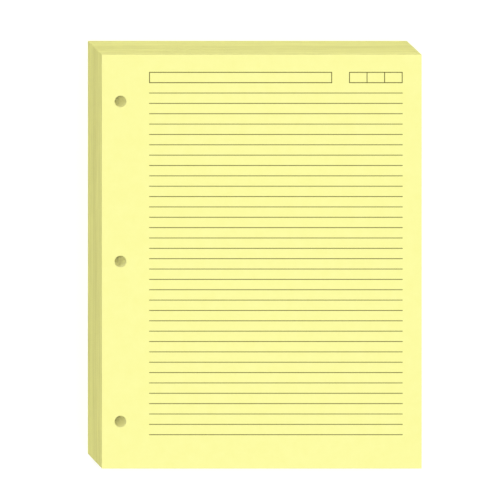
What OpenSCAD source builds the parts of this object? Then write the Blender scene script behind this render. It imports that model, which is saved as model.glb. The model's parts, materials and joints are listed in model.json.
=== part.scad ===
// Loose-leaf paper: a squared-up stack of punched leaves, with the ruling on the top one.
// It lies flat: +X points to the right-hand edge of the page, +Y to its head and +Z up.
// The origin is the middle of the underside. Sizes are in millimetres.

/* [Leaves] */
// Width of a leaf
leaf_w = 215.9; // [150:0.1:300]
// Length of a leaf, from foot to head
leaf_l = 279.4; // [250:0.1:360]
// Thickness of one leaf
leaf_t = 0.1016; // [0.06:0.0002:0.3]
// Number of leaves in the stack
leaf_count = 250; // [20:1:500]

/* [Ring holes] */
// Diameter of a hole
hole_d = 7.94; // [5:0.02:9]
// Hole centres from the binding edge
hole_inset = 12.7; // [8:0.1:20]
// Distance from one hole centre to the next
hole_pitch = 107.95; // [60:0.05:115]
// Number of holes along the binding edge
hole_count = 3; // [1:1:3]

/* [Ruling] */
// Distance from one rule to the next, and the height of the heading boxes
rule_pitch = 6.985; // [5:0.005:12]
// Width of a rule
rule_w = 0.48; // [0.1:0.02:1]
// Left upright of the title box from the binding edge
left_margin = 32.25; // [25:0.05:45]
// Last upright of the date cells from the right-hand edge
right_margin = 13.2; // [5:0.1:30]
// Top line of the heading boxes from the head of the leaf
head_margin = 12; // [5:0.1:25]
// Least space between the last rule and the foot of the leaf
foot_margin = 20; // [10:0.1:40]
// How deep the ink soaks into the top leaf
ink_depth = 0.02; // [0.01:0.002:0.05]

/* [Heading boxes] */
// Width of the lines that outline the boxes
box_line_w = 0.54; // [0.1:0.02:1]
// Distance from one upright of the date cells to the next
cell_w = 11.85; // [8:0.05:20]
// Number of date cells
cell_count = 3; // [1:1:4]
// Distance from the last upright of the title box to the first of the date cells
box_gap = 12; // [4:0.1:30]

/* [Hidden] */

// Colours of the faces that show: the cut sides, the top leaf and the print
edge_colour = "#dad785";
paper_colour = "#fefda3";
ink_colour = "#4a4616";

// Heights of the whole stack and of the leaves below the top one
stack_h = leaf_count * leaf_t;
under_h = stack_h - leaf_t;

// Line of hole centres, and how far the first one is from the middle of the leaf
hole_x = hole_inset - leaf_w / 2;
hole_reach = (hole_count - 1) * hole_pitch / 2;
hole_facets = 96;

// Uprights of the heading boxes, by the middles of their lines
title_x0 = left_margin - leaf_w / 2;
date_x1 = leaf_w / 2 - right_margin;
date_x0 = date_x1 - cell_count * cell_w;
title_x1 = date_x0 - box_gap;

// The boxes take up one line of the ruling, and a line is left free below them
box_y1 = leaf_l / 2 - head_margin;
box_y0 = box_y1 - rule_pitch;
first_rule_y = box_y0 - rule_pitch;
last_rule_limit_y = foot_margin - leaf_l / 2;
rule_count = floor((first_rule_y - last_rule_limit_y) / rule_pitch) + 1;

// How far a cut runs past the faces that it opens
cut_past = 1;

// A block of leaves of height h on z = 0, with the ring holes punched through it
module punched_block(h) {
    difference() {
        translate([-leaf_w / 2, -leaf_l / 2, 0])
            cube([leaf_w, leaf_l, h]);
        for (i = [0 : hole_count - 1])
            translate([hole_x, hole_reach - i * hole_pitch, -cut_past])
                cylinder(d = hole_d, h = h + 2 * cut_past, $fn = hole_facets);
    }
}

// One rule at height y, its ends level with the outer sides of the heading boxes
module rule(y) {
    translate([title_x0 - box_line_w / 2, y - rule_w / 2])
        square([date_x1 - title_x0 + box_line_w, rule_w]);
}

// Outline of a heading box whose uprights stand at x0 and x1
module box_outline(x0, x1) {
    span = [x1 - x0, box_y1 - box_y0];
    line = [box_line_w, box_line_w];
    translate([x0, box_y0])
        difference() {
            translate(-line / 2)
                square(span + line);
            translate(line / 2)
                square(span - line);
        }
}

// Everything that is printed on the page, as a flat shape
module page_print() {
    box_outline(title_x0, title_x1);
    for (i = [0 : cell_count - 1])
        box_outline(date_x0 + i * cell_w, date_x0 + (i + 1) * cell_w);
    for (i = [0 : rule_count - 1])
        rule(first_rule_y - i * rule_pitch);
}

// All the leaves below the top one, squared up into one block
module leaf_stack() {
    color(edge_colour)
        punched_block(under_h);
}

// The uppermost loose leaf, with a shallow bed for the ink
module top_leaf() {
    color(paper_colour)
        difference() {
            translate([0, 0, under_h])
                punched_block(leaf_t);
            translate([0, 0, stack_h - ink_depth])
                linear_extrude(ink_depth + cut_past)
                    page_print();
        }
}

// The printed rules and heading boxes, level with the face of the top leaf
module ruling() {
    color(ink_colour)
        translate([0, 0, stack_h - ink_depth])
            linear_extrude(ink_depth)
                page_print();
}

leaf_stack();
top_leaf();
ruling();
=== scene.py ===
"""Looks of the loose-leaf paper: a squared-up stack of punched yellow leaves, the top one ruled.

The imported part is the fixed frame, in metres, and it lies flat: +X points to the right-hand edge
of the page, +Y to its head and +Z up. The block of leaves and the top leaf are modelled leaf by
leaf in place of their solids, and the print keeps its solid and gets its ink.
"""

import json
import logging
import math
from abc import ABC, abstractmethod
from collections.abc import Sequence
from dataclasses import dataclass, replace
from enum import IntEnum
from typing import Self

import bpy
import numpy as np
from mathutils import Matrix, Vector
from mathutils.geometry import delaunay_2d_cdt


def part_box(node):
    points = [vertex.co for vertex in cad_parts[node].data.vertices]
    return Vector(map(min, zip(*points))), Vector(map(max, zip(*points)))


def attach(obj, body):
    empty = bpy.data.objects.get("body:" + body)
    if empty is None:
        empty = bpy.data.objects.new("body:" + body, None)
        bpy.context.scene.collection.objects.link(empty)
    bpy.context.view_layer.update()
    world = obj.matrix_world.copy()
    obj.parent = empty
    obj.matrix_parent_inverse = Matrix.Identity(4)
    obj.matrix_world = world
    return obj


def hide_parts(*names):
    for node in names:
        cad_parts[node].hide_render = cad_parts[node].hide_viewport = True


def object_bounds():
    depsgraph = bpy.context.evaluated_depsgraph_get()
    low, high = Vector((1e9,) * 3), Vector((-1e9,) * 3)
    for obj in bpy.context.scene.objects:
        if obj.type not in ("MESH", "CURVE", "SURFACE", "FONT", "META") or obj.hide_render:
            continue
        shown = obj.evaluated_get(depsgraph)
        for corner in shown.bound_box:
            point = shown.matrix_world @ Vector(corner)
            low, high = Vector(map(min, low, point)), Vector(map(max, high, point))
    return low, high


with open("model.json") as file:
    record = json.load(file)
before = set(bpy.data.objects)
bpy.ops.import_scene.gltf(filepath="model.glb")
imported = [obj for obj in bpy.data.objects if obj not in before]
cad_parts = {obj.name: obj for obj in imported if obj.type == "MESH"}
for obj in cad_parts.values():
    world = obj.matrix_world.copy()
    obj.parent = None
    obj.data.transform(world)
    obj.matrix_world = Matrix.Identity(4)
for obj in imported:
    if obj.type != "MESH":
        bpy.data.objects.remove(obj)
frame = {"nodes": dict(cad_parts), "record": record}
cad_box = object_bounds()

log = logging.getLogger("loose_leaf")

MM = 0.001
# Starts the noise by which the leaves differ
SEED = 250
# Attribute of a mesh that holds each leaf's own tone, random from leaf to leaf, which its edges
# show as painted light or shade
TONE = "leaf_tone"
# Name of the map on which a piece's surfaces lie flat, for baking its finish
BAKE_MAP = "OFBake"
# Corners of the square from -1 to 1, anticlockwise
SQUARE = np.array([[-1.0, -1.0], [1.0, -1.0], [1.0, 1.0], [-1.0, 1.0]])
SIDES = len(SQUARE)
# Rings to a leaf of the block: its lower arris, its upper arris and the crevice above it
RINGS_PER_LEAF = 3
# The value that a noise texture has on average
NOISE_MEAN = 0.5
# Numbers of a Mix node's sockets where it mixes colours: the two that go in and their mixture
MIX_FIRST = 6
MIX_SECOND = 7
MIXED = 2

Array = np.ndarray


class Surface(IntEnum):
    """Material slots of a piece of paper, in the order they are added."""

    CUT_EDGE = 0
    PUNCHED_EDGE = 1
    LEAF_FACE = 2


def linear(hex_colour: str) -> tuple[float, float, float, float]:
    """Turns an sRGB hex colour into linear red, green, blue and an alpha of 1.

    The curve is straight near black and a power above, with the numbers of the sRGB standard.

    Args:
        hex_colour: Six hex digits after a hash sign.

    Returns:
        The colour as a shader socket takes it.
    """
    shares = [byte / 255 for byte in bytes.fromhex(hex_colour.lstrip("#"))]
    red, green, blue = (c / 12.92 if c <= 0.04045 else ((c + 0.055) / 1.055) ** 2.4 for c in shares)
    return red, green, blue, 1.0


def per_metre(size_mm: float) -> float:
    """The texture scale at which one cell of a pattern is this many millimetres."""
    return 1 / (size_mm * MM)


def add_node(
    tree: bpy.types.NodeTree,
    kind: str,
    inputs: dict[str | int, object] | None = None,
    **settings: object,
) -> bpy.types.Node:
    """Adds a shader node with its settings, values and links.

    Args:
        tree: The node tree of a material or the world.
        kind: The node's type name without its ShaderNode prefix.
        inputs: Socket name or number to a value, or to the output socket that feeds it.
        settings: The node's own properties.

    Returns:
        The new node.
    """
    node = tree.nodes.new("ShaderNode" + kind)
    for name, value in settings.items():
        setattr(node, name, value)
    for key, value in (inputs or {}).items():
        if isinstance(value, bpy.types.NodeSocket):
            tree.links.new(value, node.inputs[key])
        else:
            node.inputs[key].default_value = value
    return node


def new_tree(name: str) -> tuple[bpy.types.Material, bpy.types.NodeTree]:
    """Makes a material with an empty node tree.

    Args:
        name: The material's name.

    Returns:
        The material and its tree.
    """
    material = bpy.data.materials.new(name)
    material.use_nodes = True
    material.node_tree.nodes.clear()
    return material, material.node_tree


@dataclass(frozen=True)
class MatteFinish(ABC):
    """A matte surface whose colour runs between two shades, by a pattern of its own."""

    name: str
    # Where the pattern is 0, and where it is 1
    shades: tuple[str, str]
    roughness: float
    specular: float

    @abstractmethod
    def pattern(self, tree: bpy.types.NodeTree) -> bpy.types.NodeSocket:
        """Adds the pattern that mixes the two shades."""

    def relief(self, tree: bpy.types.NodeTree) -> dict[str, bpy.types.NodeSocket]:
        """Adds what shapes the surface, as inputs of the shader. A smooth finish has none."""
        return {}

    def material(self) -> bpy.types.Material:
        """Mixes the shades by the pattern, and adds the relief.

        Returns:
            The material.
        """
        material, tree = new_tree(self.name)
        first, second = (linear(shade) for shade in self.shades)
        mixture = add_node(
            tree,
            "Mix",
            {"Factor": self.pattern(tree), MIX_FIRST: first, MIX_SECOND: second},
            data_type="RGBA",
        )
        looks = {
            "Base Color": mixture.outputs[MIXED],
            "Roughness": self.roughness,
            "Specular IOR Level": self.specular,
        }
        shader = add_node(tree, "BsdfPrincipled", looks | self.relief(tree))
        add_node(tree, "OutputMaterial", {"Surface": shader.outputs["BSDF"]})
        return material


@dataclass(frozen=True)
class BondPaper(MatteFinish):
    """Uncoated bond paper, dyed pale yellow in the pulp: matte, faintly cloudy, finely toothed."""

    name: str = "uncoated_yellow_bond_paper"
    # Thin fibre and dense fibre
    shades: tuple[str, str] = ("#fbf99b", "#fffea8")
    roughness: float = 0.88
    specular: float = 0.25
    cloud_mm: float = 7.0
    cloud_detail: float = 4.0
    cloud_roughness: float = 0.6
    # The real tooth is near 0.1 mm, and is drawn coarser so that it shows
    tooth_mm: float = 0.5
    tooth_depth_mm: float = 0.012
    tooth_detail: float = 2.0

    def pattern(self, tree: bpy.types.NodeTree) -> bpy.types.NodeSocket:
        """Clouds of fibre, which shift the yellow a little.

        Args:
            tree: The material's tree.

        Returns:
            How dense the fibre is.
        """
        place = add_node(tree, "TexCoord").outputs["Object"]
        cloud = add_node(
            tree,
            "TexNoise",
            {
                "Vector": place,
                "Scale": per_metre(self.cloud_mm),
                "Detail": self.cloud_detail,
                "Roughness": self.cloud_roughness,
            },
        )
        return cloud.outputs["Fac"]

    def relief(self, tree: bpy.types.NodeTree) -> dict[str, bpy.types.NodeSocket]:
        """The tooth of the paper, which breaks up the light.

        Args:
            tree: The material's tree.

        Returns:
            The shader's normal.
        """
        place = add_node(tree, "TexCoord").outputs["Object"]
        tooth = add_node(
            tree,
            "TexNoise",
            {"Vector": place, "Scale": per_metre(self.tooth_mm), "Detail": self.tooth_detail},
        )
        bump = add_node(
            tree,
            "Bump",
            {"Height": tooth.outputs["Fac"], "Distance": self.tooth_depth_mm * MM},
        )
        return {"Normal": bump.outputs["Normal"]}


@dataclass(frozen=True)
class CutEdges(MatteFinish):
    """Guillotined edges of stacked bond paper: hundreds of hairlines, some painted paler, some
    painted in shade.
    """

    name: str = "guillotined_bond_paper_edges"
    # Painted shade for edges in shade and crevices, and painted light for edges that catch it
    shades: tuple[str, str] = ("#d5d283", "#fcfba6")
    roughness: float = 0.92
    specular: float = 0.2
    # A leaf is 0.1 mm thick, and the hairlines are drawn a few leaves high so that they show
    hairline_mm: float = 0.3
    hairline_run_mm: float = 45.0
    hairline_share: float = 0.55
    # Broad bands along the leaves, painted lighter or darker
    band_mm: float = 2.4
    band_run_mm: float = 400.0
    band_share: float = 0.2
    streak_detail: float = 3.0
    contrast: float = 2.6

    def streaks(
        self,
        tree: bpy.types.NodeTree,
        run_mm: float,
        height_mm: float,
    ) -> bpy.types.NodeSocket:
        """Noise drawn out along the leaves. The mapping alone sets its scale.

        Args:
            tree: The material's tree.
            run_mm: Length of a streak along the leaves.
            height_mm: Height of a streak across them.

        Returns:
            The noise.
        """
        place = add_node(tree, "TexCoord").outputs["Object"]
        scale = (per_metre(run_mm), per_metre(run_mm), per_metre(height_mm))
        stretched = add_node(tree, "Mapping", {"Vector": place, "Scale": scale})
        noise = add_node(
            tree,
            "TexNoise",
            {"Vector": stretched.outputs["Vector"], "Scale": 1.0, "Detail": self.streak_detail},
        )
        return noise.outputs["Fac"]

    def pattern(self, tree: bpy.types.NodeTree) -> bpy.types.NodeSocket:
        """Hairlines and bands of painted light and shade along the leaves, mixed with each leaf's
        own tone.

        The three are added up by their shares, and the sum is stretched about its mean by the
        contrast.

        Args:
            tree: The material's tree.

        Returns:
            How much light is painted on an edge, with painted shade at 0.
        """
        hairlines = self.streaks(tree, self.hairline_run_mm, self.hairline_mm)
        bands = self.streaks(tree, self.band_run_mm, self.band_mm)
        tone = add_node(tree, "Attribute", attribute_name=TONE).outputs["Fac"]
        mixed = 0.0
        for part, share in (
            (tone, 1 - self.hairline_share - self.band_share),
            (hairlines, self.hairline_share),
            (bands, self.band_share),
        ):
            total = add_node(
                tree,
                "Math",
                {0: part, 1: share, 2: mixed},
                operation="MULTIPLY_ADD",
            )
            mixed = total.outputs[0]
        span = 1 / self.contrast
        light = add_node(
            tree,
            "MapRange",
            {"Value": mixed, "From Min": NOISE_MEAN - span / 2, "From Max": NOISE_MEAN + span / 2},
        )
        return light.outputs["Result"]


@dataclass(frozen=True)
class PunchedEdges(CutEdges):
    """Punched edges of the same paper, inside a ring hole: painted paler and more even than cut
    ones.
    """

    name: str = "punched_bond_paper_edges"
    # Painted shade and painted light as on the cut edges, both lighter, which paints the deep holes
    # brighter
    shades: tuple[str, str] = ("#f6f2ab", "#fffebd")


@dataclass(frozen=True)
class PrintingInk(MatteFinish):
    """Dark olive offset ink soaked into uncoated paper: matte, and uneven where fibres show."""

    name: str = "soaked_in_printing_ink"
    # Full cover and worn cover
    shades: tuple[str, str] = ("#383406", "#5a5514")
    roughness: float = 0.75
    specular: float = 0.2
    fibre_mm: float = 0.6
    fibre_detail: float = 3.0

    def pattern(self, tree: bpy.types.NodeTree) -> bpy.types.NodeSocket:
        """The ink's cover, which varies along each line with the fibres below it.

        Args:
            tree: The material's tree.

        Returns:
            How worn the cover is.
        """
        place = add_node(tree, "TexCoord").outputs["Object"]
        cover = add_node(
            tree,
            "TexNoise",
            {"Vector": place, "Scale": per_metre(self.fibre_mm), "Detail": self.fibre_detail},
        )
        return cover.outputs["Fac"]


@dataclass(frozen=True)
class LeafCut:
    """What every leaf shares: half its width and length, its thickness and its ring holes."""

    half: Array
    thickness: float
    hole_centres: Array
    hole_radius: float

    @classmethod
    def from_frame(cls) -> Self:
        """Reads the top leaf's box and the ring holes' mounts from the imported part.

        Returns:
            The leaf's sizes, in metres.
        """
        low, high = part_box("top_leaf")
        bores = [mount for mount in frame["record"]["mounts"] if mount["kind"] == "bore"]
        return cls(
            half=np.array([high.x - low.x, high.y - low.y]) / 2,
            thickness=high.z - low.z,
            hole_centres=np.array([bore["pos_m"][:2] for bore in bores]),
            hole_radius=bores[0]["dims"]["r_mm"] * MM,
        )


@dataclass
class Rings:
    """Rings that climb a wall: how far each point is drawn into the paper, and how high it lies."""

    inset: Array
    height: Array


def quads_between(here: Array, after: Array, faces_in: bool) -> Array:
    """Corners of the quads between neighbouring rings.

    A quad has a point, the next one round the ring, and the same two on the ring above.

    Args:
        here: Ring by point, a vertex number or coordinates for each.
        after: The same of the next point round.
        faces_in: True for a hole, whose wall faces its axis.

    Returns:
        Quad by corner, anticlockwise seen from the side that shows.
    """
    corners = np.stack([here[:-1], after[:-1], after[1:], here[1:]], axis=2)
    quads = corners.reshape(-1, *corners.shape[2:])
    return quads[:, ::-1] if faces_in else quads


def wall_quads(loop: Array, rings: int, faces_in: bool) -> Array:
    """Quads of a whole wall.

    Args:
        loop: Vertex numbers round the lowest ring. The other rings' numbers follow on.
        rings: How many rings the wall has.
        faces_in: True for a hole.

    Returns:
        Four vertex numbers a row.
    """
    here = loop[None] + len(loop) * np.arange(rings)[:, None]
    return quads_between(here, np.roll(here, -1, axis=1), faces_in)


def cap_triangles(points: Array, loops: Sequence[Array], faces_up: bool) -> Array:
    """Fills a flat outline with holes in it.

    The points are joined into the triangulation with the roundest triangles that keeps every loop
    as edges, and the triangles whose three corners lie on one hole are left out.

    Args:
        points: All the vertices of the piece.
        loops: Vertex numbers round the outline and round each hole.
        faces_up: True for the upper cap.

    Returns:
        Three vertex numbers a row, turned to face the asked way.
    """
    keep_inside = 1
    merge_within_m = 1e-7
    numbers = np.concatenate(loops)
    lengths = [len(loop) for loop in loops]
    loop_of = np.repeat(np.arange(len(loops)), lengths)
    parts = np.split(np.arange(len(numbers)), np.cumsum(lengths)[:-1])
    edges = np.concatenate([np.stack([part, np.roll(part, -1)], axis=-1) for part in parts])
    _, _, faces, sources, _, _ = delaunay_2d_cdt(
        points[numbers, :2].tolist(),
        edges.tolist(),
        [],
        keep_inside,
        merge_within_m,
    )
    triangles = np.array(sources)[:, 0][np.array(faces)]
    loop_of_corner = loop_of[triangles]
    in_hole = (loop_of_corner > 0).all(axis=1) & (np.ptp(loop_of_corner, axis=1) == 0)
    triangles = numbers[triangles[~in_hole]]
    a, b, c = points[triangles.T, :2]
    doubled_area = (b - a)[:, 0] * (c - a)[:, 1] - (b - a)[:, 1] * (c - a)[:, 0]
    wrong = (doubled_area > 0) != faces_up
    triangles[wrong] = triangles[wrong][:, ::-1]
    return triangles


@dataclass(frozen=True)
class BakeLayout:
    """How a punched piece lies flat on the square map that its finish can be baked through.

    The four sides lie in rows one above another, the holes side by side in the next row, and the
    underside and the face side by side above them all.
    """

    wall_share: float
    cap_width: float = 0.5
    margin: float = 0.006

    @property
    def row(self) -> float:
        """Height of a row of walls."""
        return self.wall_share / (SIDES + 1)

    def feet(self, first_row: int, per_row: int, count: int, steps: int) -> Array:
        """Where the columns of some walls stand on the map, from the first wall to the last.

        A row is shared out evenly among its walls, less a margin round each.

        Args:
            first_row: The row that the first wall is in.
            per_row: How many walls share a row.
            count: How many walls there are.
            steps: How many columns a wall has.

        Returns:
            Column by start and end by two coordinates.
        """
        wall = np.arange(count)
        left = wall % per_row / per_row + self.margin
        foot = (first_row + wall // per_row) * self.row + self.margin
        edges = left[:, None] + np.arange(steps + 1) / steps * (1 / per_row - 2 * self.margin)
        across = np.stack([edges[:, :-1], edges[:, 1:]], axis=-1)
        up = np.broadcast_to(foot[:, None, None], across.shape)
        return np.stack([across, up], axis=-1).reshape(-1, 2, 2)

    def wall(self, feet: Array, rings: Rings, faces_in: bool) -> Array:
        """Lays a wall on the map, its rings as far apart there as they are on average.

        Args:
            feet: Where its columns stand.
            rings: The wall's rings.
            faces_in: True for a hole.

        Returns:
            Quad by corner by two coordinates, in the order of wall_quads.
        """
        level = rings.height.mean(axis=1)
        climb = (level - level[0]) / (level[-1] - level[0]) * (self.row - 2 * self.margin)
        spots = feet[None] + np.stack([np.zeros_like(climb), climb], axis=-1)[:, None, None]
        return quads_between(spots[:, :, 0], spots[:, :, 1], faces_in)

    def cap(self, flat: Array, half: Array, faces_up: bool) -> Array:
        """Lays points of the underside or the face on the map, stretched to its place there.

        Args:
            flat: Two coordinates a row, about the middle of the leaf.
            half: Half the leaf's width and length.
            faces_up: True for the face.

        Returns:
            Two coordinates a row.
        """
        corner = np.array([self.cap_width * faces_up, self.wall_share]) + self.margin
        size = np.array([self.cap_width, 1 - self.wall_share]) - 2 * self.margin
        return corner + (flat / half + 1) / 2 * size


@dataclass
class PunchedSkin:
    """Closed skin of punched leaves: rings climb its outside and its holes, and flat caps close it.

    Every ring belongs to a leaf that is shifted and turned a little, so its outline and its holes
    move together. An inset draws a ring into the paper, from the outline and from the holes alike.
    """

    cut: LeafCut
    shifts: Array
    turns: Array
    tones: Array
    steps_per_side: int
    steps_per_hole: int
    layout: BakeLayout
    sharp_deg: float = 30.0

    def outline(self) -> tuple[Array, Array]:
        """Points anticlockwise round the leaf, with the way out at each.

        A side runs from one corner of the square to the next in equal steps, and the square is
        stretched to the leaf. The way out is the sign of each coordinate that lies on a side, so
        a corner's points along its mitre.

        Returns:
            The points and the outward directions, one row each.
        """
        along = np.arange(self.steps_per_side) / self.steps_per_side
        sides = np.roll(SQUARE, -1, axis=0) - SQUARE
        square = (SQUARE[:, None] + along[None, :, None] * sides[:, None]).reshape(-1, 2)
        outward = np.where(np.abs(square) == 1.0, square, 0.0)
        return square * self.cut.half, outward

    def placed(self, flat: Array, height: Array) -> Array:
        """Lays rings out as their leaves lie.

        A point is turned about the leaf's middle, shifted with the leaf and lifted to its height.

        Args:
            flat: Ring by point by two coordinates on an unmoved leaf.
            height: Ring by point.

        Returns:
            Ring by point by three coordinates.
        """
        cosine, sine = np.cos(self.turns)[:, None], np.sin(self.turns)[:, None]
        x = cosine * flat[..., 0] - sine * flat[..., 1] + self.shifts[:, :1]
        y = sine * flat[..., 0] + cosine * flat[..., 1] + self.shifts[:, 1:]
        return np.stack([x, y, height], axis=-1)

    def walls(self, outer: Rings, hole: Rings) -> list[Array]:
        """The outside wall and the wall of each hole.

        The outside is the leaf's outline drawn in by its inset. A hole is a circle whose radius
        grows by its inset.

        Args:
            outer: The rings of the outside.
            hole: The rings of every hole.

        Returns:
            One array of ring by point by three coordinates for each wall, the outside first.
        """
        points, outward = self.outline()
        walls = [self.placed(points[None] - outer.inset[..., None] * outward[None], outer.height)]
        angle = math.tau * np.arange(self.steps_per_hole) / self.steps_per_hole
        circle = np.stack([np.cos(angle), np.sin(angle)], axis=-1)
        radius = self.cut.hole_radius + hole.inset
        for centre in self.cut.hole_centres:
            walls.append(self.placed(centre + radius[..., None] * circle[None], hole.height))
        return walls

    def patches(self, points: Array, walls: Sequence[Array]) -> list[tuple[Surface, Array]]:
        """The faces of the outside, the holes, the underside and the leaf's face.

        Args:
            points: All the vertices, in the order of the walls.
            walls: The outside wall and the wall of each hole.

        Returns:
            Each patch's surface and its faces, with one row of vertex numbers for a face.
        """
        rings = len(self.tones)
        sizes = np.array([wall.shape[0] * wall.shape[1] for wall in walls])
        firsts = np.cumsum(sizes) - sizes
        bottoms = [first + np.arange(wall.shape[1]) for first, wall in zip(firsts, walls)]
        tops = [loop + (rings - 1) * len(loop) for loop in bottoms]
        bores = [wall_quads(loop, rings, faces_in=True) for loop in bottoms[1:]]
        return [
            (Surface.CUT_EDGE, wall_quads(bottoms[0], rings, faces_in=False)),
            (Surface.PUNCHED_EDGE, np.concatenate(bores)),
            (Surface.LEAF_FACE, cap_triangles(points, bottoms, faces_up=False)),
            (Surface.LEAF_FACE, cap_triangles(points, tops, faces_up=True)),
        ]

    def spots(self, outer: Rings, hole: Rings, underside: Array, face: Array) -> Array:
        """Where every corner of every face lies on the bake map.

        Args:
            outer: The rings of the outside.
            hole: The rings of every hole.
            underside: Flat coordinates of the corners of the underside's triangles.
            face: The same of the leaf's face.

        Returns:
            Two coordinates a row, in the order of the patches.
        """
        layout, half, holes = self.layout, self.cut.half, len(self.cut.hole_centres)
        sides = layout.feet(first_row=0, per_row=1, count=SIDES, steps=self.steps_per_side)
        bores = layout.feet(first_row=SIDES, per_row=holes, count=holes, steps=self.steps_per_hole)
        laid = [layout.wall(sides, outer, faces_in=False)]
        laid += [layout.wall(feet, hole, faces_in=True) for feet in np.split(bores, holes)]
        laid += [layout.cap(underside, half, faces_up=False), layout.cap(face, half, faces_up=True)]
        return np.concatenate([spots.reshape(-1, 2) for spots in laid])

    def piece(
        self,
        name: str,
        outer: Rings,
        hole: Rings,
        finishes: Sequence[bpy.types.Material],
    ) -> bpy.types.Object:
        """Makes one closed piece of paper, which rides on the part's one body.

        Args:
            name: The piece's name.
            outer: The rings of the outside.
            hole: The rings of every hole.
            finishes: The materials, in the order of Surface.

        Returns:
            The new object, at the origin.
        """
        walls = self.walls(outer, hole)
        points = np.concatenate([wall.reshape(-1, 3) for wall in walls])
        tone = np.concatenate([np.repeat(self.tones, wall.shape[1]) for wall in walls])
        surfaces, patches = zip(*self.patches(points, walls))
        sizes = [len(patch) for patch in patches]
        slots = np.repeat(surfaces, sizes)
        counts = np.repeat([patch.shape[1] for patch in patches], sizes)
        corners = np.concatenate([patch.ravel() for patch in patches])
        underside, face = (points[patch.ravel(), :2] for patch in patches[-2:])
        spots = self.spots(outer, hole, underside, face)

        mesh = bpy.data.meshes.new(name)
        mesh.vertices.add(len(points))
        mesh.vertices.foreach_set("co", points.astype(np.float32).ravel())
        mesh.loops.add(len(corners))
        mesh.loops.foreach_set("vertex_index", corners.astype(np.int32))
        mesh.polygons.add(len(counts))
        mesh.polygons.foreach_set("loop_start", (np.cumsum(counts) - counts).astype(np.int32))
        mesh.polygons.foreach_set("material_index", slots.astype(np.int32))
        for finish in finishes:
            mesh.materials.append(finish)
        leaf_tone = mesh.attributes.new(TONE, "FLOAT", "POINT")
        leaf_tone.data.foreach_set("value", tone.astype(np.float32))
        bake_map = mesh.uv_layers.new(name=BAKE_MAP)
        bake_map.uv.foreach_set("vector", spots.astype(np.float32).ravel())
        mesh.update(calc_edges=True)
        mesh.validate()
        mesh.set_sharp_from_angle(angle=math.radians(self.sharp_deg))
        flat = mesh.attributes.new("sharp_face", "BOOLEAN", "FACE")
        flat.data.foreach_set("value", slots == Surface.LEAF_FACE)
        piece = bpy.data.objects.new(name, mesh)
        bpy.context.scene.collection.objects.link(piece)
        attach(piece, "root")
        return piece


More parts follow.
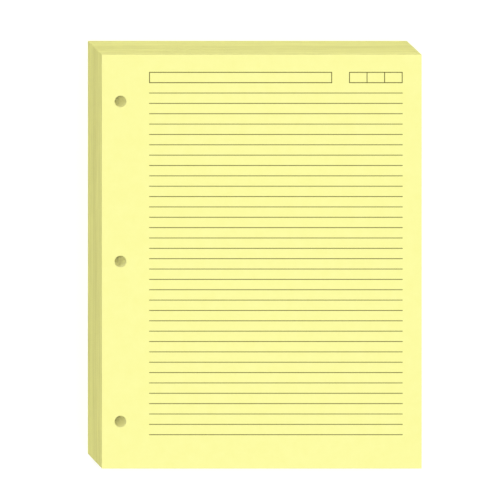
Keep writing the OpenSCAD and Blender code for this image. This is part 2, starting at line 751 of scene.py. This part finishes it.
@dataclass
class LeafBlock:
    """All the leaves below the top one, each jogged a little out of line with its neighbours."""

    cut: LeafCut
    # Each leaf is this much smaller than the solid all round, so that it stays inside it
    jog_mm: float = 0.1
    # Leaves drift out of line together over a lift, the pile that is jogged at one time
    lift_leaves: int = 14
    # The kernel that smooths the drift ends after so many lifts
    kernel_lifts: int = 4
    drift_share: float = 0.5
    stray_share: float = 0.25
    # Each leaf's tone moves its edges from the painted shade at 0 toward the painted light at 1
    tone: float = 0.5
    tone_spread: float = 0.3
    crevice_mm: float = 0.012
    crevice_depth_mm: float = 0.03
    # What a crevice gains where leaves part, in up to so many places round an edge
    parted_mm: float = 0.06
    parted_depth_mm: float = 0.4
    most_partings: int = 4
    # The higher this power, the fewer leaves part wide
    parting_rarity: int = 4
    steps_per_side: int = 14
    steps_per_hole: int = 24
    bake_wall_share: float = 0.75

    def wander(self, draws: np.random.Generator, count: int) -> Array:
        """A value for each leaf that drifts up the stack.

        White noise is smoothed by a kernel that fades over a lift of leaves, a little white
        noise is added, and the sum is held between -1 and 1.

        Args:
            draws: The source of noise.
            count: How many leaves there are.

        Returns:
            One value for each leaf.
        """
        fade = np.exp(-np.arange(self.kernel_lifts * self.lift_leaves) / self.lift_leaves)
        noise = draws.standard_normal(count + len(fade) - 1)
        drift = np.convolve(noise, fade / np.linalg.norm(fade), mode="valid")
        stray = draws.standard_normal(count)
        return np.clip(self.drift_share * drift + self.stray_share * stray, -1, 1)

    def rings(self, draws: np.random.Generator, count: int, around: int) -> Rings:
        """The rings of a wall: each leaf's lower arris, its upper arris and the crevice above it.

        Every crevice has a least height and depth. Where leaves part it opens by a raised cosine
        along the edge, whose length, place and size differ from leaf to leaf.

        Args:
            draws: The source of noise.
            count: How many leaves there are.
            around: How many points go round the wall.

        Returns:
            The rings from the underside up. The top leaf of the block has no crevice above it.
        """
        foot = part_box("leaf_stack")[0].z
        way_round = np.arange(around) / around
        waves = draws.integers(1, self.most_partings + 1, (count, 1))
        start = draws.random((count, 1))
        opened = draws.random((count, 1)) ** self.parting_rarity
        parted = opened * np.clip(np.cos(math.tau * (waves * way_round + start)), 0, 1) ** 2
        depth = MM * (self.crevice_depth_mm + self.parted_depth_mm * parted)
        half_gap = MM / 2 * (self.crevice_mm + self.parted_mm * parted)
        # There is no gap above the top leaf, and the roll makes that the gap below the lowest one
        half_gap[-1] = 0
        half_gap_below = np.roll(half_gap, 1, axis=0)
        above = foot + self.cut.thickness * np.arange(1, count + 1)[:, None] + np.zeros(around)
        below = above - self.cut.thickness
        flush = np.zeros_like(depth)
        inset = np.stack([flush, flush, depth], axis=1)
        height = np.stack([below + half_gap_below, above - half_gap, above], axis=1)
        return Rings(inset.reshape(-1, around)[:-1], height.reshape(-1, around)[:-1])

    def build(self, finishes: Sequence[bpy.types.Material]) -> bpy.types.Object:
        """Lays the leaves on each other, each with its own shift, turn and tone.

        Args:
            finishes: The materials, in the order of Surface.

        Returns:
            The block as one closed piece.
        """
        low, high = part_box("leaf_stack")
        count = round((high.z - low.z) / self.cut.thickness)
        draws = np.random.default_rng(SEED)
        jog = self.jog_mm * MM
        shift = jog / 2 * np.stack([self.wander(draws, count), self.wander(draws, count)], axis=-1)
        turn = jog / 2 / self.cut.half.max() * self.wander(draws, count)
        tone = self.tone + self.tone_spread * self.wander(draws, count)
        leaf_of_ring = np.repeat(np.arange(count), RINGS_PER_LEAF)[:-1]
        skin = PunchedSkin(
            cut=replace(self.cut, half=self.cut.half - jog),
            shifts=shift[leaf_of_ring],
            turns=turn[leaf_of_ring],
            tones=tone[leaf_of_ring],
            steps_per_side=self.steps_per_side,
            steps_per_hole=self.steps_per_hole,
            layout=BakeLayout(self.bake_wall_share),
        )
        outer = self.rings(draws, count, SIDES * self.steps_per_side)
        hole = self.rings(draws, count, self.steps_per_hole)
        piece = skin.piece("leaf_stack_leaves", outer, hole, finishes)
        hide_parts("leaf_stack")
        return piece


@dataclass
class TopLeaf:
    """The uppermost loose leaf, with the rounded rims that a punch and a guillotine leave."""

    cut: LeafCut
    # The leaf is this much smaller than its solid all round
    inset_mm: float = 0.06
    rim_mm: float = 0.05
    rim_rings: int = 5
    # The face lies this much below the ink's, so that the print shows
    ink_stands_mm: float = 0.012
    # The top leaf's edges lean further toward the painted light than the block's do
    tone: float = 0.7
    steps_per_side: int = 8
    steps_per_hole: int = 96
    bake_wall_share: float = 0.1

    def build(self, finishes: Sequence[bpy.types.Material]) -> bpy.types.Object:
        """A few rings from its underside to its face, drawn in along a quarter circle at the rim.

        Args:
            finishes: The materials, in the order of Surface.

        Returns:
            The leaf as one closed piece.
        """
        low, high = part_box("top_leaf")
        rim = self.rim_mm * MM
        face = high.z - self.ink_stands_mm * MM
        bend = np.linspace(0, math.pi / 2, self.rim_rings)
        height = np.concatenate([[low.z], face - rim + rim * np.sin(bend)])
        drawn_in = np.concatenate([[0.0], rim * (1 - np.cos(bend))])
        skin = PunchedSkin(
            cut=replace(self.cut, half=self.cut.half - self.inset_mm * MM),
            shifts=np.zeros((len(height), 2)),
            turns=np.zeros(len(height)),
            tones=np.full(len(height), self.tone),
            steps_per_side=self.steps_per_side,
            steps_per_hole=self.steps_per_hole,
            layout=BakeLayout(self.bake_wall_share),
        )
        outer, hole = (
            Rings(
                inset=np.repeat(drawn_in[:, None], around, axis=1),
                height=np.repeat(height[:, None], around, axis=1),
            )
            for around in (SIDES * self.steps_per_side, self.steps_per_hole)
        )
        piece = skin.piece("top_leaf_sheet", outer, hole, finishes)
        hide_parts("top_leaf")
        return piece


@dataclass
class Ruling:
    """The printed rules and heading boxes, which keep their solid."""

    node: str = "ruling"

    def dress(self, ink: bpy.types.Material) -> bpy.types.Object:
        """Gives the print its ink.

        Args:
            ink: The ink's material.

        Returns:
            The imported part's own object.
        """
        piece = frame["nodes"][self.node]
        piece.data.materials.clear()
        piece.data.materials.append(ink)
        return piece


@dataclass(frozen=True)
class Lamp:
    """A far, wide lamp, so that the floor is lit alike all over and shadows stay soft."""

    name: str
    # Its light on a surface that faces it, in watts a square metre
    strength: float
    # How wide it looks from the paper
    angle_deg: float
    # The way from the paper to the lamp
    source: tuple[float, float, float]

    def build(self) -> bpy.types.Object:
        """Adds the lamp, turned to face the paper.

        Returns:
            The lamp.
        """
        light = bpy.data.lights.new(self.name, "SUN")
        light.energy = self.strength
        light.angle = math.radians(self.angle_deg)
        lamp = bpy.data.objects.new(self.name, light)
        lamp.rotation_mode = "QUATERNION"
        lamp.rotation_quaternion = Vector(self.source).to_track_quat("Z", "Y")
        bpy.context.scene.collection.objects.link(lamp)
        return lamp


@dataclass
class Studio:
    """A pale floor, an even white surround and three soft lamps.

    The key lamp stands above the page's upper left corner, on the side that the camera looks from,
    so its shadow falls behind the paper. A low lamp beyond the head lights the back of the stack,
    and a weak one beyond the lower right corner fills in the two sides that are in shade.
    """

    floor_half_m: float = 9.0
    floor_drop_mm: float = 0.05
    floor_colour: str = "#e1e1e1"
    # What the floor gains where it is seen directly, so that it looks white
    floor_lift: float = 0.37
    surround_colour: str = "#ffffff"
    surround_strength: float = 0.4
    lamps: tuple[Lamp, ...] = (
        Lamp("key_lamp", strength=1.57, angle_deg=20.0, source=(-0.32, 0.32, 1.0)),
        Lamp("head_lamp", strength=0.58, angle_deg=40.0, source=(0.0, 1.0, 0.35)),
        Lamp("fill_lamp", strength=0.4, angle_deg=40.0, source=(0.7, -0.7, 1.0)),
    )

    def seen_directly(self, tree: bpy.types.NodeTree) -> bpy.types.NodeSocket:
        """A factor that is 1 for what the camera sees, also in gloss and through glass.

        Args:
            tree: The tree to add it to.

        Returns:
            The factor's socket.
        """
        path = add_node(tree, "LightPath").outputs
        seen = path["Is Camera Ray"]
        for ray in ("Is Glossy Ray", "Is Transmission Ray"):
            either = add_node(tree, "Math", {0: seen, 1: path[ray]}, operation="MAXIMUM")
            seen = either.outputs[0]
        return seen

    def floor(self) -> bpy.types.Object:
        """A wide flat sheet just below the paper, lifted to white where it is seen directly.

        Returns:
            The floor.
        """
        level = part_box("leaf_stack")[0].z - self.floor_drop_mm * MM
        corners = np.column_stack([self.floor_half_m * SQUARE, np.full(SIDES, level)])
        mesh = bpy.data.meshes.new("studio_floor")
        mesh.from_pydata(corners, [], [range(SIDES)])
        material, tree = new_tree("matte_white_floor")
        card = add_node(tree, "BsdfDiffuse", {"Color": linear(self.floor_colour)})
        share = add_node(
            tree,
            "Math",
            {0: self.seen_directly(tree), 1: self.floor_lift},
            operation="MULTIPLY",
        )
        glow = add_node(tree, "Emission", {"Strength": share.outputs[0]})
        both = add_node(tree, "AddShader", {0: card.outputs[0], 1: glow.outputs[0]})
        add_node(tree, "OutputMaterial", {"Surface": both.outputs[0]})
        mesh.materials.append(material)
        floor = bpy.data.objects.new("studio_floor", mesh)
        bpy.context.scene.collection.objects.link(floor)
        return floor

    def world(self) -> None:
        """An even surround that lights the paper and is white where it is seen directly."""
        world = bpy.data.worlds.new("studio_surround")
        world.use_nodes = True
        tree = world.node_tree
        tree.nodes.clear()
        white = 1.0
        strength = add_node(
            tree,
            "MapRange",
            {
                "Value": self.seen_directly(tree),
                "To Min": self.surround_strength,
                "To Max": white,
            },
        )
        light = add_node(
            tree,
            "Background",
            {"Color": linear(self.surround_colour), "Strength": strength.outputs["Result"]},
        )
        add_node(tree, "OutputWorld", {"Surface": light.outputs[0]})
        bpy.context.scene.world = world

    def build(self) -> None:
        """Sets up the floor, the surround, the lamps and the plain view transform."""
        self.floor()
        self.world()
        for lamp in self.lamps:
            lamp.build()
        bpy.context.scene.view_settings.view_transform = "Standard"


@dataclass
class ObliqueCamera:
    """A far camera whose picture plane stays parallel to the page while its line of sight leans.

    The photograph draws the page square on and the stack's far side shifted up and to the left. A
    sheared rig gives that oblique view with no lens shift. The pixels are the photograph's.
    """

    frame_px: float = 500.0
    page_left_px: float = 101.73
    page_right_px: float = 421.75
    page_top_px: float = 54.59
    page_bottom_px: float = 468.63
    # Half a pixel more than it measures, which the white floor and the jogged leaves take off
    base_shift_px: float = 14.4
    distance_m: float = 10.0
    clip_end_m: float = 50.0
    sensor_mm: float = 36.0

    def build(self) -> bpy.types.Object:
        """Works the scale out from the page's width, then aims, leans and frames the camera.

        The shear shifts a point along both axes of the page, in proportion to its height above the
        page, and leaves the page itself where it is.

        Returns:
            The camera.
        """
        low, high = cad_box
        size, middle = high - low, (low + high) / 2
        metres_per_px = size.x / (self.page_right_px - self.page_left_px)
        lean = self.base_shift_px * metres_per_px / size.z
        page_middle_x = (self.page_left_px + self.page_right_px) / 2
        page_middle_y = (self.page_top_px + self.page_bottom_px) / 2
        aim_x = middle.x + (self.frame_px / 2 - page_middle_x) * metres_per_px
        aim_y = middle.y + (page_middle_y - self.frame_px / 2) * metres_per_px

        rig = bpy.data.objects.new("camera_rig", None)
        bpy.context.scene.collection.objects.link(rig)
        lens = bpy.data.cameras.new("oblique_camera")
        camera = bpy.data.objects.new("oblique_camera", lens)
        bpy.context.scene.collection.objects.link(camera)
        camera.location = (aim_x, aim_y, high.z + self.distance_m)
        camera.parent = rig
        camera.matrix_parent_inverse = Matrix(
            (
                (1, 0, -lean, lean * high.z),
                (0, 1, lean, -lean * high.z),
                (0, 0, 1, 0),
                (0, 0, 0, 1),
            )
        )
        lens.sensor_width = self.sensor_mm
        # The line of sight leans as far along one axis of the page as along the other
        sight_per_height = math.sqrt(1 + lean**2 + lean**2)
        frame_width = self.frame_px * metres_per_px
        lens.lens = self.sensor_mm * self.distance_m * sight_per_height / frame_width
        lens.clip_end = self.clip_end_m
        bpy.context.scene.camera = camera
        return camera


def main() -> None:
    """Builds the paper, the studio and the camera in order, and reports each piece."""
    logging.basicConfig(level=logging.INFO, format="%(name)s: %(message)s")
    finishes = [finish.material() for finish in (CutEdges(), PunchedEdges(), BondPaper())]
    cut = LeafCut.from_frame()
    for piece in (
        LeafBlock(cut).build(finishes),
        TopLeaf(cut).build(finishes),
        Ruling().dress(PrintingInk().material()),
    ):
        log.info("%s has %d faces", piece.name, len(piece.data.polygons))
    Studio().build()
    camera = ObliqueCamera().build()
    log.info("%s has a lens of %.0f mm", camera.name, camera.data.lens)


if __name__ == "__main__":
    main()
